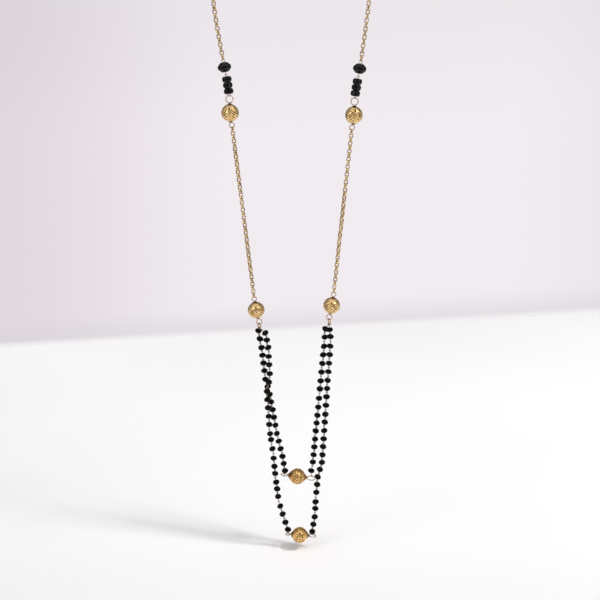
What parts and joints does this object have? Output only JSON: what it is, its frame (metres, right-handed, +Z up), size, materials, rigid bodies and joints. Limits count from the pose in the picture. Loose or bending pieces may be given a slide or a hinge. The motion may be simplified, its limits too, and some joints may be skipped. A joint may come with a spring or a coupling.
{
  "type": "mangalsutra",
  "caption": "Long fine-chain necklace with engraved hollow gold balls, groups of faceted black beads, and two lower strands of small black beads with a ball at the middle of each.",
  "frame": {"origin": "underside of the clasp, where the necklace rests at the nape of the neck", "axes": "+Z up along the hanging necklace, +X to the right seen from the front, -Y towards the viewer"},
  "size_m": [0.0632, 0.0096, 0.285],
  "materials": {
    "engraved_gold": "yellow gold, polished with engraved and punched pattern",
    "gold_wire": "drawn yellow gold wire, polished",
    "gold_chain": "yellow gold links, softly worn",
    "black_glass": "opaque black faceted glass, glossy"
  },
  "bodies": {
    "root": {"left_upper_ball": "engraved_gold", "left_upper_ball_wire": "gold_wire", "right_upper_ball": "engraved_gold", "right_upper_ball_wire": "gold_wire", "left_lower_ball": "engraved_gold", "left_lower_ball_wire": "gold_wire", "right_lower_ball": "engraved_gold", "right_lower_ball_wire": "gold_wire", "inner_centre_ball": "engraved_gold", "inner_centre_ball_wire": "gold_wire", "outer_centre_ball": "engraved_gold", "outer_centre_ball_wire": "gold_wire", "left_group_bead_1": "black_glass", "left_group_bead_2": "black_glass", "left_group_bead_3": "black_glass", "left_large_bead": "black_glass", "left_group_wire": "gold_wire", "left_large_wire": "gold_wire", "left_chain": "gold_chain", "left_neck_chain": "gold_chain", "left_junction_ring": "gold_wire", "right_group_bead_1": "black_glass", "right_group_bead_2": "black_glass", "right_group_bead_3": "black_glass", "right_large_bead": "black_glass", "right_group_wire": "gold_wire", "right_large_wire": "gold_wire", "right_chain": "gold_chain", "right_neck_chain": "gold_chain", "right_junction_ring": "gold_wire", "inner_strand_left": "black_glass", "inner_strand_right": "black_glass", "outer_strand_left": "black_glass", "outer_strand_right": "black_glass", "clasp": "gold_wire", "clasp_end_ring": "gold_wire"}
  },
  "joints": []
}
